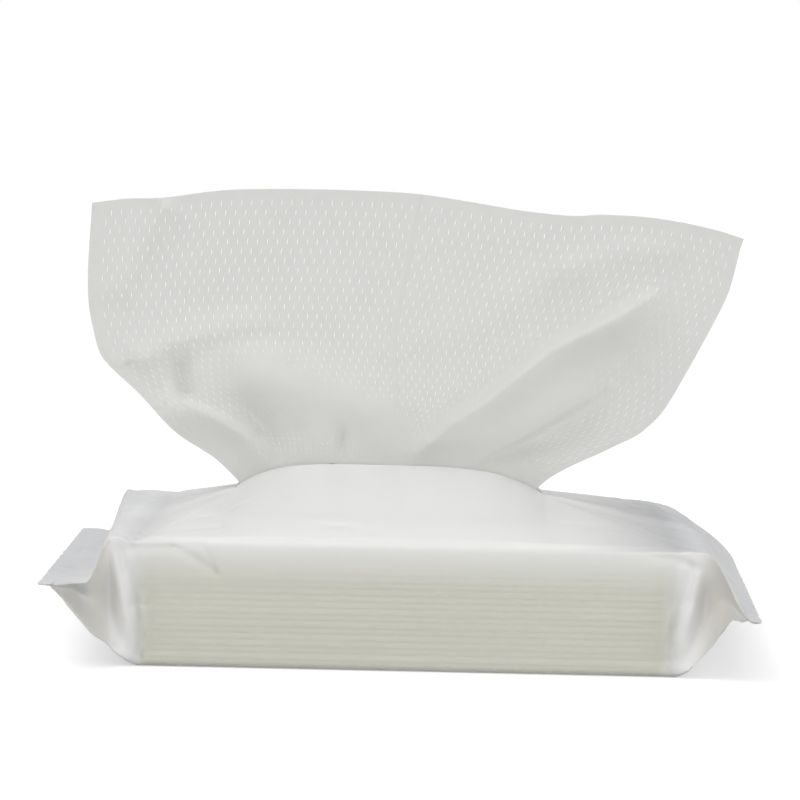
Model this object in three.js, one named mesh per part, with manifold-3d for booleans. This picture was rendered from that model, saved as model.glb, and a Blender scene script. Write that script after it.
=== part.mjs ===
// A flow-wrapped pack of dry dusting cloths, with one cloth pulled up through the slit in its top.
// The frame is in millimetres: X runs along the pack, Y to its back, Z up from its flat underside.

import * as THREE from 'three';
import { mergeVertices } from 'three/addons/utils/BufferGeometryUtils.js';
import Module from 'manifold-3d';

const wasm = await Module();
wasm.setup();

// Driving sizes of a cloth and of the folded block
const clothWidth = 280;
const clothHeight = 200;
const clothThickness = 1.0;
const foldedCount = 19;
const foldSlot = 0.2;
const stackScatter = 0.4;

// Clearances between neighbours, and the film's wall
const layerGap = 0.3;
const filmFit = 0.3;
const filmSideFit = 1.2;
const mouthFit = 0.7;
const filmWall = 0.3;
const endWallShare = 2.6;

// The tube of film round the block
const filmCornerRadius = 2.5;
const backSealWidth = 11;
const backSealRootWidth = 1;
const backSealGap = 0.05;

// The slit in the top, and how far the pulled cloth lifts the film round it
const slitLeft = -71;
const slitRight = 54;
const slitPeakX = -14;
const mouthHalfWidth = 11.5;
const lipRise = 23;
const slitEndRise = 11.5;
const ridgeSoftness = 1.6;

// The end fins: reach past the block, skew from front to back, and the crimped seal's share of it
const finReach = 40;
const finSkew = 6;
const sealStart = 0.84;
const leftFinHeight = 31;
const rightFinHeight = 21;
const gussetTuck = 9;
const toothPitch = 8;
const toothDepth = 1.6;

// The gathers of the pulled cloth at the slit
const neckInset = 4;
const neckDepth = 2;
const neckSag = 4;
const pleatPitch = 22;
const pleatPhaseX = 6;
const pleatAmplitude = 9.5;
const pleatFade = 0.34;
const bendRadius = 6;
const hemSpread = 22;
const creaseHeight = 1.2;
const creaseHalfWidth = 5;

// Steps of the faceted surfaces
const ringsAlongBlock = 16;
const ringsPerEnd = 8;
const topSteps = 16;
const sideSteps = 6;
const cornerSteps = 2;
const clothColumns = 54;
const visibleRows = 19;
const hiddenRows = 8;

// Sizes that follow from the ones above
const foldedDepth = clothWidth / 2;
const foldedHeight = 2 * clothThickness + foldSlot;
const stackBottom = filmWall * 2 + backSealGap + filmFit;
const stackTop = stackBottom + foldedCount * foldedHeight + (foldedCount - 1) * layerGap;
const filmHeight = stackTop + filmFit + filmWall;
const filmHalfDepth = foldedDepth / 2 + stackScatter + filmSideFit + filmWall;
const filmHalfLength = clothHeight / 2 + stackScatter + filmFit + filmWall;
const quarterGirth = filmHalfDepth + filmHeight / 2;
const neckLeft = slitLeft + neckInset;
const neckRight = slitRight - neckInset;

const clamp = THREE.MathUtils.clamp;
const lerp = THREE.MathUtils.lerp;
const smooth = (low, high, value) => THREE.MathUtils.smoothstep(value, low, high);

// Least of two heights, with their crease rounded over the given width
function softMin(a, b, width) {
  const h = clamp(0.5 + (b - a) / (2 * width), 0, 1);
  return lerp(b, a, h) - width * h * (1 - h);
}

// Share of the way from the slit's peak to either of its ends
function slitShare(x) {
  const end = x < slitPeakX ? slitLeft : slitRight;
  return Math.abs((x - slitPeakX) / (end - slitPeakX));
}

// Rise of the lip along the slit, an arch between its two ends
function lipRiseAt(x) {
  const share = Math.min(slitShare(x), 1);
  return slitEndRise + (lipRise - slitEndRise) * (1 - share ** 4);
}

// Rise of the hip that runs from each end of the slit down to the block's end
function hipRiseAt(x) {
  const end = x < slitPeakX ? slitLeft : slitRight;
  const run = filmHalfLength - Math.abs(end);
  const share = clamp((filmHalfLength - Math.abs(x)) / run, 0, 1);
  return slitShare(x) <= 1 ? lipRiseAt(x) : slitEndRise * share;
}

// Half the width of the open slit, which narrows to a point at each end
function mouthHalfAt(x) {
  const share = Math.min(slitShare(x), 1);
  return mouthHalfWidth * Math.sqrt(1 - share ** 2.4);
}

// Rise of the tented film over the block: a front and a back slope between two hipped ends
function tentRiseAt(x, y) {
  const slope = clamp((filmHalfDepth - Math.abs(y)) / (filmHalfDepth - mouthHalfWidth), 0, 1);
  const face = lipRiseAt(x) * slope;
  const hip = hipRiseAt(x);
  return Math.max(0, softMin(face, hip, Math.max(0.01, Math.min(ridgeSoftness, hip))));
}

// The two ends differ: the left one drops in a step to its fin, the right one droops
const ends = {
  left: {
    side: -1,
    finHeight: leftFinHeight,
    topDrop: (e) => smooth(0.2, 0.6, e),
    bottomRise: (e) => clamp(e / sealStart, 0, 1) ** 1.15,
  },
  right: {
    side: 1,
    finHeight: rightFinHeight,
    topDrop: (e) => clamp(e / sealStart, 0, 1) ** 1.3,
    bottomRise: (e) => clamp(e / sealStart, 0, 1) ** 1.1,
  },
};

// Heights and half depths of the film's section at a share e of the way out along an end
function endSection(end, e, inset) {
  const top = lerp(filmHeight, end.finHeight + filmWall, end.topDrop(e)) - inset;
  const bottom = lerp(0, end.finHeight - filmWall, end.bottomRise(e)) + inset;
  const tuck = gussetTuck * Math.sin(Math.PI * clamp(e / sealStart, 0, 1));
  const halfHeight = (top - bottom) / 2;
  const corner = quarterGirth - Math.hypot(halfHeight + inset, tuck) - inset;
  const wallTuck = (tuck * inset) / (halfHeight * 0.3);
  return { top, bottom, corner, middle: corner - tuck - wallTuck };
}

// One ring of the film's tube, as points round its section
function filmRing(sectionAt, xAt, inset) {
  const { top, bottom, corner, middle } = sectionAt;
  const radius = Math.min(filmCornerRadius - inset, (top - bottom) * 0.35);
  const flat = corner - radius;
  const half = (top - bottom) / 2 - radius;
  const points = [];
  const add = (y, z) => points.push(new THREE.Vector3(xAt(y), y, z));
  const tent = (y) => tentRiseAt(xAt(y), y);
  const recess = (y) => (Math.abs(xAt(y)) < filmHalfLength - filmCornerRadius ? filmWall + backSealGap : 0);
  for (let i = 0; i <= topSteps; i += 1) {
    const y = lerp(-flat, flat, i / topSteps);
    add(y, top + tent(y));
  }
  for (const way of [1, -1]) {
    for (let i = 1; i < cornerSteps; i += 1) {
      const angle = (Math.PI / 2) * (i / cornerSteps);
      const turn = way === 1 ? angle : Math.PI / 2 - angle;
      const low = bottom + radius - radius * Math.cos(Math.PI / 2 - angle);
      if (way === 1) add(flat + radius * Math.sin(turn), top - radius + radius * Math.cos(turn));
      else add(-flat - radius * Math.sin(turn), low);
    }
    for (let i = 0; i <= sideSteps; i += 1) {
      const height = lerp(way, -way, i / sideSteps);
      const depth = lerp(middle, corner, Math.abs(height));
      add(way * depth, (top + bottom) / 2 + height * half);
    }
    if (way === 1) addUnderside(add, flat, radius, bottom, recess);
    else addLastCorner(add, flat, radius, top);
  }
  return points;
}

// The underside runs from the back edge to the front edge, with a shallow trough for the back seal
function addUnderside(add, flat, radius, bottom, recess) {
  const troughHalf = backSealWidth / 2 + 1;
  const stations = [1, 0.5, troughHalf / flat, (troughHalf - 0.6) / flat];
  for (let i = 1; i < cornerSteps; i += 1) {
    const angle = (Math.PI / 2) * (i / cornerSteps);
    add(flat + radius * Math.cos(angle), bottom + radius - radius * Math.sin(angle));
  }
  for (const way of [1, -1]) {
    const ordered = way === 1 ? stations : [...stations].reverse();
    for (const share of ordered) {
      const inTrough = share * flat < troughHalf - 0.3;
      const y = way * share * flat;
      add(y, bottom + (inTrough ? recess(y) : 0));
    }
  }
}

function addLastCorner(add, flat, radius, top) {
  for (let i = 1; i < cornerSteps; i += 1) {
    const angle = (Math.PI / 2) * (i / cornerSteps);
    add(-flat - radius * Math.cos(angle), top - radius + radius * Math.sin(angle));
  }
}

// All rings of the tube from the left fin to the right one, or the cavity's rings, which stop at the seals
function filmRings(wall, endRings) {
  const rings = [];
  const endRing = (end, i) => {
    const e = i / ringsPerEnd;
    const inset = wall * lerp(1, endWallShare, smooth(0, 0.4, e));
    const xAt = (y) => end.side * (filmHalfLength + e * (finReach + (finSkew * y) / quarterGirth));
    return filmRing(endSection(end, e, inset), xAt, inset);
  };
  for (let i = endRings; i > 0; i -= 1) rings.push(endRing(ends.left, i));
  for (let i = 0; i <= ringsAlongBlock; i += 1) {
    const x = lerp(-filmHalfLength, filmHalfLength, i / ringsAlongBlock);
    rings.push(filmRing(endSection(ends.left, 0, wall), () => x, wall));
  }
  for (let i = 1; i <= endRings; i += 1) rings.push(endRing(ends.right, i));
  return rings;
}

// A closed solid through rings of equal count, with a fan over its first and its last ring
function loftSolid(rings) {
  const count = rings[0].length;
  const positions = rings.flat().flatMap((point) => point.toArray());
  const index = [];
  for (let r = 0; r < rings.length - 1; r += 1) {
    for (let i = 0; i < count; i += 1) {
      const a = r * count + i;
      const b = r * count + ((i + 1) % count);
      index.push(a, b + count, b, a, a + count, b + count);
    }
  }
  addCap(positions, index, rings[0], 0, false);
  addCap(positions, index, rings[rings.length - 1], (rings.length - 1) * count, true);
  const geometry = new THREE.BufferGeometry();
  geometry.setAttribute('position', new THREE.Float32BufferAttribute(positions, 3));
  geometry.setIndex(index);
  return geometry;
}

function addCap(positions, index, ring, start, last) {
  const centre = ring.reduce((sum, point) => sum.add(point), new THREE.Vector3()).divideScalar(ring.length);
  const centreIndex = positions.length / 3;
  positions.push(centre.x, centre.y, centre.z);
  for (let i = 0; i < ring.length; i += 1) {
    const a = start + i;
    const b = start + ((i + 1) % ring.length);
    index.push(centreIndex, last ? b : a, last ? a : b);
  }
}

function toSolid(geometry) {
  const bare = geometry.clone();
  bare.deleteAttribute('normal');
  bare.deleteAttribute('uv');
  const merged = mergeVertices(bare, 1e-4);
  const mesh = new wasm.Mesh({
    numProp: 3,
    vertProperties: new Float32Array(merged.attributes.position.array),
    triVerts: new Uint32Array(merged.index.array),
  });
  return new wasm.Manifold(mesh);
}

function toGeometry(solid) {
  const mesh = solid.getMesh();
  const geometry = new THREE.BufferGeometry();
  geometry.setAttribute('position', new THREE.Float32BufferAttribute(mesh.vertProperties, 3));
  geometry.setIndex(Array.from(mesh.triVerts));
  geometry.computeVertexNormals();
  return geometry;
}

// The eye-shaped slit, as an upright prism through the top of the film
function mouthCutter() {
  const outline = [];
  const steps = 28;
  for (const way of [-1, 1]) {
    for (let i = 0; i < steps; i += 1) {
      const share = -way * Math.cos((Math.PI * i) / steps);
      const end = share < 0 ? slitLeft : slitRight;
      const x = slitPeakX + Math.abs(share) * (end - slitPeakX);
      outline.push(new THREE.Vector2(x, way * mouthHalfAt(x)));
    }
  }
  const shape = new THREE.Shape(outline);
  const geometry = new THREE.ExtrudeGeometry(shape, { depth: lipRise * 2, bevelEnabled: false });
  return geometry.translate(0, 0, stackTop + filmFit / 2);
}

// The saw-tooth edge that the cutting knife leaves along a fin
function fingerCutter(end) {
  const outerEdge = (y) => end.side * (filmHalfLength + finReach + (finSkew * y) / quarterGirth);
  const halfWidth = quarterGirth + toothPitch;
  const teeth = Math.ceil(halfWidth / toothPitch);
  const outline = [];
  for (let i = -teeth; i <= teeth; i += 0.5) {
    const y = i * toothPitch;
    const depth = Number.isInteger(i) ? toothDepth : 0;
    outline.push(new THREE.Vector2(outerEdge(y) - end.side * depth, y));
  }
  const beyond = end.side * (filmHalfLength + finReach + finSkew * 2 + 10);
  outline.push(new THREE.Vector2(beyond, halfWidth + toothPitch));
  outline.push(new THREE.Vector2(beyond, -halfWidth - toothPitch));
  const shape = new THREE.Shape(outline);
  const geometry = new THREE.ExtrudeGeometry(shape, { depth: 8, bevelEnabled: false });
  return geometry.translate(0, 0, end.finHeight - 4);
}

// The back seal: a strip of doubled film folded flat under the pack, joined along one edge
function backSealSolid() {
  const length = 2 * (filmHalfLength - filmCornerRadius * 2);
  const strip = new THREE.BoxGeometry(length, backSealWidth, filmWall).translate(0, 0, filmWall / 2);
  const root = new THREE.BoxGeometry(length, backSealRootWidth, filmWall * 1.5);
  root.translate(0, (backSealRootWidth - backSealWidth) / 2, filmWall * 0.75);
  return toSolid(strip).add(toSolid(root));
}

function filmWrapperGeometry() {
  const outer = toSolid(loftSolid(filmRings(0, ringsPerEnd)));
  const cavity = toSolid(loftSolid(filmRings(filmWall, Math.floor(ringsPerEnd * sealStart))));
  const shell = outer
    .subtract(cavity)
    .subtract(toSolid(mouthCutter()))
    .subtract(toSolid(fingerCutter(ends.left)))
    .subtract(toSolid(fingerCutter(ends.right)));
  return toGeometry(shell.add(backSealSolid()));
}

// A cloth folded once at its centre crease, as a hairpin section extruded along X
function foldedClothGeometry() {
  const outerRadius = foldedHeight / 2;
  const innerRadius = foldSlot / 2;
  const bendY = -foldedDepth / 2 + outerRadius;
  const openY = foldedDepth / 2;
  const shape = new THREE.Shape();
  shape.moveTo(openY, -outerRadius);
  shape.lineTo(openY, -innerRadius);
  shape.lineTo(bendY, -innerRadius);
  shape.absarc(bendY, 0, innerRadius, -Math.PI / 2, Math.PI / 2, true);
  shape.lineTo(openY, innerRadius);
  shape.lineTo(openY, outerRadius);
  shape.lineTo(bendY, outerRadius);
  shape.absarc(bendY, 0, outerRadius, Math.PI / 2, (3 * Math.PI) / 2, false);
  const geometry = new THREE.ExtrudeGeometry(shape, { depth: clothHeight, bevelEnabled: false, curveSegments: 6 });
  geometry.translate(0, 0, -clothHeight / 2);
  return geometry.rotateX(Math.PI / 2).rotateZ(Math.PI / 2);
}

const curve = (pairs) => new THREE.CatmullRomCurve3(pairs.map(([x, z]) => new THREE.Vector3(x, 0, z)));

// Outline of the pulled cloth above the slit, seen from the front: its two side hems and its top hem
const neckHeightAt = (x) => filmHeight + lipRiseAt(x) - neckDepth;
const leftHem = curve([[neckLeft, neckHeightAt(neckLeft)], [-93, 82], [-121, 109], [-130, 141], [-129, 174]]);
const rightHem = curve([[neckRight, neckHeightAt(neckRight)], [80, 78], [111, 109], [127, 142], [133, 164]]);
const topHem = curve([[-129, 174], [-65, 180], [0, 179.5], [62, 172.5], [133, 164]]);

// Large folds of the pulled cloth, each a crest line seen from the front, with a positive rise to the front
const folds = [
  { line: curve([[-60, 66], [-78, 81], [-101, 101], [-108, 124]]), rise: 9, halfWidth: 12, fadeFrom: 0.6 },
  { line: curve([[-50, 70], [-72, 86], [-91, 96], [-94, 118]]), rise: -8, halfWidth: 7, fadeFrom: 0.7 },
  { line: curve([[-38, 72], [-36, 84], [-56, 96], [-84, 104]]), rise: 11, halfWidth: 14, fadeFrom: 0.7 },
  { line: curve([[-27, 72], [-28, 82], [-31, 94]]), rise: -7, halfWidth: 5, fadeFrom: 0.4 },
  { line: curve([[-16, 72], [-15, 82], [-24, 92]]), rise: 7, halfWidth: 9, fadeFrom: 0.3 },
  { line: curve([[-5, 73], [-3, 84], [4, 96]]), rise: -8, halfWidth: 5, fadeFrom: 0.4 },
  { line: curve([[6, 73], [14, 87], [45, 111], [80, 131], [112, 138]]), rise: 13, halfWidth: 13, fadeFrom: 0.8 },
  { line: curve([[18, 70], [39, 87], [62, 101], [100, 124]]), rise: -8, halfWidth: 10, fadeFrom: 0.6 },
  { line: curve([[32, 68], [56, 77], [88, 96], [114, 124]]), rise: 6, halfWidth: 9, fadeFrom: 0.4 },
].map((fold) => ({ ...fold, points: fold.line.getPoints(14) }));

// How far the folds push the cloth to the front at a place seen from the front
function foldPushAt(x, z) {
  let push = 0;
  for (const { points, rise, halfWidth, fadeFrom } of folds) {
    let nearest = Infinity;
    let along = 0;
    points.slice(1).forEach((end, i) => {
      const start = points[i];
      const share = shareOnSegment(start, end, x, z);
      const gap = Math.hypot(lerp(start.x, end.x, share) - x, lerp(start.z, end.z, share) - z);
      if (gap < nearest) {
        nearest = gap;
        along = (i + share) / (points.length - 1);
      }
    });
    const fade = 1 - smooth(fadeFrom, 1, along);
    push += rise * fade * Math.exp(-((nearest / halfWidth) ** 2) * 1.6);
  }
  return push;
}

function shareOnSegment(start, end, x, z) {
  const dx = end.x - start.x;
  const dz = end.z - start.z;
  return clamp(((x - start.x) * dx + (z - start.z) * dz) / (dx * dx + dz * dz), 0, 1);
}

// Place of a cloth point seen from the front, by a patch between the neck line and the three hems
function frontPlace(u, s) {
  const left = leftHem.getPointAt(s);
  const right = rightHem.getPointAt(s);
  const top = topHem.getPointAt(u);
  const neckX = lerp(neckLeft, neckRight, u);
  const neck = new THREE.Vector3(neckX, 0, neckHeightAt(neckX));
  const cornerTop = leftHem.getPointAt(1).lerp(rightHem.getPointAt(1), u);
  const cornerNeck = leftHem.getPointAt(0).lerp(rightHem.getPointAt(0), u);
  const across = left.lerp(right, u);
  return across
    .addScaledVector(neck.sub(cornerNeck), 1 - s)
    .addScaledVector(top.sub(cornerTop), s);
}

const pleatWave = (x) => Math.cos((2 * Math.PI * (x - pleatPhaseX)) / pleatPitch);
const pleatRoomAt = (x) => Math.min(pleatAmplitude, Math.max(0, mouthHalfAt(x) - mouthFit - clothThickness));

// Above the slit: pleats that open out upward, the large folds and the centre crease
function visiblePoint(u, s) {
  const place = frontPlace(u, s);
  const neckX = lerp(neckLeft, neckRight, u);
  const free = smooth(0, 0.22, s);
  const pleat = pleatRoomAt(neckX) * pleatWave(neckX) * (1 - smooth(0, pleatFade, s));
  const crease = creaseHeight * Math.max(0, 1 - (Math.abs(u - 0.5) * clothWidth) / creaseHalfWidth);
  const sway = 3 * Math.sin(2 * Math.PI * (1.4 * u + 0.15)) * s;
  place.y = -(pleat + free * (foldPushAt(place.x, place.z) + crease + sway));
  return place;
}

// Half of the clear height over the block, which bounds the pleats of the part that stays inside
function lyingRoomAt(x, y) {
  const height = tentRiseAt(x, y + clothThickness) - clothThickness - 2 * mouthFit;
  return Math.max(0.2, height / 2);
}

// Below the slit: straight down, round a bend, then flat on the block to the back, spreading out
function hiddenPoint(u, length) {
  const neckX = lerp(neckLeft, neckRight, u);
  const neckZ = neckHeightAt(neckX);
  const x = neckX + smooth(0, 60, length) * hemSpread * (2 * u - 1);
  const floor = stackTop + layerGap + clothThickness / 2;
  const bendAmplitude = Math.min(pleatRoomAt(neckX), lyingRoomAt(x, bendRadius) * 0.85);
  const drop = Math.max(0, neckZ - floor - bendAmplitude - bendRadius);
  const turned = clamp((length - drop) / bendRadius, 0, Math.PI / 2);
  const flat = Math.max(0, length - drop - (bendRadius * Math.PI) / 2);
  const y = bendRadius * (1 - Math.cos(turned)) + flat;
  const upright = lerp(pleatRoomAt(neckX), bendAmplitude, clamp(length / Math.max(drop, 1), 0, 1));
  const amplitude = Math.min(upright, flat > 0 ? lyingRoomAt(x, y) * 0.85 : upright);
  const wave = amplitude * pleatWave(neckX);
  const lowest = floor + Math.min(bendAmplitude, amplitude);
  const z = turned > 0 ? lowest + bendRadius * (1 - Math.sin(turned)) : neckZ - length;
  return new THREE.Vector3(x, y - wave * Math.cos(turned), z - wave * Math.sin(turned));
}

// The whole sheet, from its hidden hem at v = 0 to its top hem at v = 1
function clothPoint(u, row) {
  if (row >= hiddenRows) return visiblePoint(u, (row - hiddenRows) / visibleRows);
  const hemLength = lerp(leftHem.getLength(), rightHem.getLength(), u);
  const tallMiddle = neckSag * (1 - (2 * u - 1) ** 2);
  const hiddenLength = clothHeight - hemLength + tallMiddle;
  return hiddenPoint(u, hiddenLength * (1 - row / hiddenRows));
}

// A sheet of points thickened along its normals into a closed solid
function sheetSolid(pointAt, columns, rows, thickness) {
  const middle = [];
  for (let r = 0; r <= rows; r += 1) {
    for (let c = 0; c <= columns; c += 1) middle.push(pointAt(c / columns, r));
  }
  const at = (c, r) => middle[clamp(r, 0, rows) * (columns + 1) + clamp(c, 0, columns)];
  const positions = [];
  for (const side of [-1, 1]) {
    for (let r = 0; r <= rows; r += 1) {
      for (let c = 0; c <= columns; c += 1) {
        const across = at(c + 1, r).clone().sub(at(c - 1, r));
        const up = at(c, r + 1).clone().sub(at(c, r - 1));
        const normal = across.cross(up).normalize();
        positions.push(...at(c, r).clone().addScaledVector(normal, (-side * thickness) / 2).toArray());
      }
    }
  }
  const geometry = new THREE.BufferGeometry();
  geometry.setAttribute('position', new THREE.Float32BufferAttribute(positions, 3));
  geometry.setIndex(sheetIndex(columns, rows));
  geometry.computeVertexNormals();
  return geometry;
}

function sheetIndex(columns, rows) {
  const index = [];
  const layer = (columns + 1) * (rows + 1);
  const at = (side, c, r) => side * layer + r * (columns + 1) + c;
  const quad = (a, b, c, d) => index.push(a, b, c, a, c, d);
  for (let r = 0; r < rows; r += 1) {
    for (let c = 0; c < columns; c += 1) {
      quad(at(0, c, r), at(0, c + 1, r), at(0, c + 1, r + 1), at(0, c, r + 1));
      quad(at(1, c, r), at(1, c, r + 1), at(1, c + 1, r + 1), at(1, c + 1, r));
    }
    quad(at(0, 0, r), at(0, 0, r + 1), at(1, 0, r + 1), at(1, 0, r));
    quad(at(0, columns, r), at(1, columns, r), at(1, columns, r + 1), at(0, columns, r + 1));
  }
  for (let c = 0; c < columns; c += 1) {
    quad(at(0, c, 0), at(1, c, 0), at(1, c + 1, 0), at(0, c + 1, 0));
    quad(at(0, c, rows), at(0, c + 1, rows), at(1, c + 1, rows), at(1, c, rows));
  }
  return index;
}

function filmMaterial() {
  return new THREE.MeshStandardMaterial({
    color: 0xe4e5e3,
    roughness: 0.25,
    metalness: 0,
    transparent: true,
    opacity: 0.6,
    side: THREE.DoubleSide,
  });
}

function clothMaterial(shade) {
  return new THREE.MeshStandardMaterial({ color: shade, roughness: 0.95, metalness: 0 });
}

function named(name, geometry, material) {
  const mesh = new THREE.Mesh(geometry, material);
  mesh.name = name;
  return mesh;
}

// The block of folded cloths, each a little out of line with the next
function foldedBlock() {
  const block = new THREE.Group();
  const pitch = foldedHeight + layerGap;
  for (let i = 0; i < foldedCount; i += 1) {
    const name = `folded_cloth_${String(i + 1).padStart(2, '0')}`;
    const cloth = named(name, foldedClothGeometry(), clothMaterial(0xe9e9e6));
    cloth.position.set(
      stackScatter * Math.sin(i * 2.3),
      stackScatter * Math.sin(i * 3.7 + 1),
      stackBottom + foldedHeight / 2 + i * pitch,
    );
    block.add(cloth);
  }
  return block;
}

const pack = new THREE.Group();
pack.add(named('film_wrapper', filmWrapperGeometry(), filmMaterial()));
pack.add(named(
  'pulled_cloth',
  sheetSolid(clothPoint, clothColumns, hiddenRows + visibleRows, clothThickness),
  clothMaterial(0xecebe8),
));
pack.add(foldedBlock());

export default pack;
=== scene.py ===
import math
import bpy
import numpy as np
from mathutils import Matrix, Vector


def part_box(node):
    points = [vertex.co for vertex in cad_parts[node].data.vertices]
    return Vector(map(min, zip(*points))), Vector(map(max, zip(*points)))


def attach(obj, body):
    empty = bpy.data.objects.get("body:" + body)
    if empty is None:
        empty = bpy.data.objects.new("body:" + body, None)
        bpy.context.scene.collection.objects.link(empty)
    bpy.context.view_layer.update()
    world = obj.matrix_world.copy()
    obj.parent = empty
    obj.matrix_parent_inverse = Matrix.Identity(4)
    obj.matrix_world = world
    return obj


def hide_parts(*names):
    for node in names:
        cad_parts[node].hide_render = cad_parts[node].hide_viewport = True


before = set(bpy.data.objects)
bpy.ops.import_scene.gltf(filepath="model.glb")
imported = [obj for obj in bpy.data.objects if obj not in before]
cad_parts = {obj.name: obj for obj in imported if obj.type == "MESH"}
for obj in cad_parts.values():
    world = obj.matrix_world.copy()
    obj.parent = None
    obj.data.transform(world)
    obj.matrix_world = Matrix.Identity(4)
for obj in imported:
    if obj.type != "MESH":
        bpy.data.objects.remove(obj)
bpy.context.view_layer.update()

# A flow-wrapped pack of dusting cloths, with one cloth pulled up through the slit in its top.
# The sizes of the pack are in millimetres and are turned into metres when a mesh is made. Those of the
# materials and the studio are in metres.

mm = 0.001
sharpAngle = math.radians(50)   # edges sharper than this stay crisp


# Small helpers

def smoothStep(low, high, value):
    t = np.clip((np.asarray(value, float) - low) / (high - low), 0, 1)
    return t * t * (3 - 2 * t)


def mix(a, b, t):
    return a + (b - a) * t


def softMin(a, b, width):
    h = np.clip(0.5 + (b - a) / (2 * width), 0, 1)
    return mix(b, a, h) - width * h * (1 - h)


def latticeNoise(x, y, seed):   # smooth noise from -1 to 1 over a unit lattice, the same on every run
    x, y = np.broadcast_arrays(np.asarray(x, float), np.asarray(y, float))
    cellX, cellY = np.floor(x), np.floor(y)
    partX, partY = x - cellX, y - cellY
    easeX, easeY = partX * partX * (3 - 2 * partX), partY * partY * (3 - 2 * partY)

    def corner(dx, dy):   # the large uneven factors scatter the values of neighbouring corners
        wave = np.sin((cellX + dx) * 127.1 + (cellY + dy) * 311.7 + seed * 74.7) * 43758.5453
        return (wave - np.floor(wave)) * 2 - 1

    low = mix(corner(0, 0), corner(1, 0), easeX)
    high = mix(corner(0, 1), corner(1, 1), easeX)
    return mix(low, high, easeY)


def creaseNoise(x, y, seed):    # sharp ridges from 0 to 1, like crumpled film
    return (1 - np.abs(latticeNoise(x, y, seed))) ** 3


def smoothLine(pairs, count=400, fineSteps=40):   # a smooth curve through points, evenly spaced by length
    points = np.array(pairs, float)
    first, last = 2 * points[0] - points[1], 2 * points[-1] - points[-2]
    points = np.vstack([first, points, last])
    places = []
    for i in range(1, len(points) - 2):
        p = points[i - 1:i + 3]
        gaps = np.maximum(np.linalg.norm(np.diff(p, axis=0), axis=1), 1e-6) ** 0.5
        knots = np.concatenate([[0], np.cumsum(gaps)])
        t = np.linspace(knots[1], knots[2], fineSteps, endpoint=False)[:, None]
        a = [(knots[j + 1] - t) / gaps[j] * p[j] + (t - knots[j]) / gaps[j] * p[j + 1] for j in range(3)]
        b = [(knots[j + 2] - t) / (knots[j + 2] - knots[j]) * a[j]
             + (t - knots[j]) / (knots[j + 2] - knots[j]) * a[j + 1] for j in range(2)]
        places.append((knots[2] - t) / gaps[1] * b[0] + (t - knots[1]) / gaps[1] * b[1])
    dense = np.vstack(places + [points[-2][None]])
    steps = np.concatenate([[0], np.cumsum(np.linalg.norm(np.diff(dense, axis=0), axis=1))])
    even = np.linspace(0, steps[-1], count)
    line = np.stack([np.interp(even, steps, dense[:, k]) for k in range(2)], axis=1)
    return {"line": line, "length": steps[-1]}


def onLine(curve, t):
    at = np.clip(t, 0, 1) * (len(curve["line"]) - 1)
    index = np.arange(len(curve["line"]))
    return np.interp(at, index, curve["line"][:, 0]), np.interp(at, index, curve["line"][:, 1])


def makeMesh(name, points, faces):   # smooth shading, apart from rims and the edges of slots
    mesh = bpy.data.meshes.new(name)
    mesh.from_pydata((np.asarray(points) * mm).tolist(), [], faces)
    mesh.validate()
    mesh.polygons.foreach_set("use_smooth", [True] * len(mesh.polygons))
    mesh.update()
    piece = bpy.data.objects.new(name, mesh)
    bpy.context.collection.objects.link(piece)
    mesh.set_sharp_from_angle(angle=sharpAngle)
    return piece


def dropUnused(points, faces):   # keep only the points that a face uses
    used = np.unique(np.concatenate([np.asarray(face) for face in faces]))
    place = np.full(len(points), -1)
    place[used] = np.arange(len(used))
    return points[used], [tuple(int(place[i]) for i in face) for face in faces]


def gridNormals(grid):   # normals of a grid of points, rows by columns
    across = np.gradient(grid, axis=1)
    along = np.gradient(grid, axis=0)
    normal = np.cross(across, along)
    return normal / np.maximum(np.linalg.norm(normal, axis=2, keepdims=True), 1e-9)


def gridQuads(rows, count):
    return [(r * count + c, r * count + c + 1, (r + 1) * count + c + 1, (r + 1) * count + c)
            for r in range(rows - 1) for c in range(count - 1)]


def bothSkins(grid, thickness):   # the points of a sheet's two skins, to each side of a grid
    away = gridNormals(grid) * thickness / 2
    return np.vstack([(grid + away).reshape(-1, 3), (grid - away).reshape(-1, 3)])


def thickFaces(quads, offset):
    # both skins of a sheet, joined along every edge that only one quad uses
    faces = [tuple(q) for q in quads]
    faces += [tuple(i + offset for i in reversed(q)) for q in quads]
    q = np.asarray(quads)
    edges = np.concatenate([q[:, [0, 1]], q[:, [1, 2]], q[:, [2, 3]], q[:, [3, 0]]])
    keys = np.sort(edges, axis=1)
    _, place, count = np.unique(keys[:, 0] * offset + keys[:, 1], return_inverse=True, return_counts=True)
    for a, b in edges[count[place] == 1]:
        faces.append((int(b), int(a), int(a) + offset, int(b) + offset))
    return faces


# The block of cloths and the film round it, in the CAD's sizes

pack = {
    "clothWidth": 280, "clothHeight": 200, "foldedCount": 19,
    "halfLength": 101, "halfDepth": 71.9, "height": 48.75, "topGap": 0.6,
    "slitLeft": -71, "slitRight": 54, "slitPeak": -14, "mouthHalf": 11.5, "mouthBend": 2.4,
    "lipRise": 23, "slitEndRise": 11.5, "lipBend": 4, "ridgeSoftness": 0.8, "ridgeLeast": 0.01,
}
pack["stackTop"] = pack["height"] - pack["topGap"]
pack["quarterGirth"] = pack["halfDepth"] + pack["height"] / 2


def slitEndAt(x):   # the end of the slit on the same side of its peak as x
    return np.where(x < pack["slitPeak"], pack["slitLeft"], pack["slitRight"])


def slitShare(x):   # 0 at the peak of the slit, 1 at its two ends, and more beyond them
    return np.abs((x - pack["slitPeak"]) / (slitEndAt(x) - pack["slitPeak"]))


def lipRiseAt(x):   # how far the lip of the slit stands above the block
    share = np.minimum(slitShare(x), 1)
    return mix(pack["slitEndRise"], pack["lipRise"], 1 - share ** pack["lipBend"])


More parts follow.
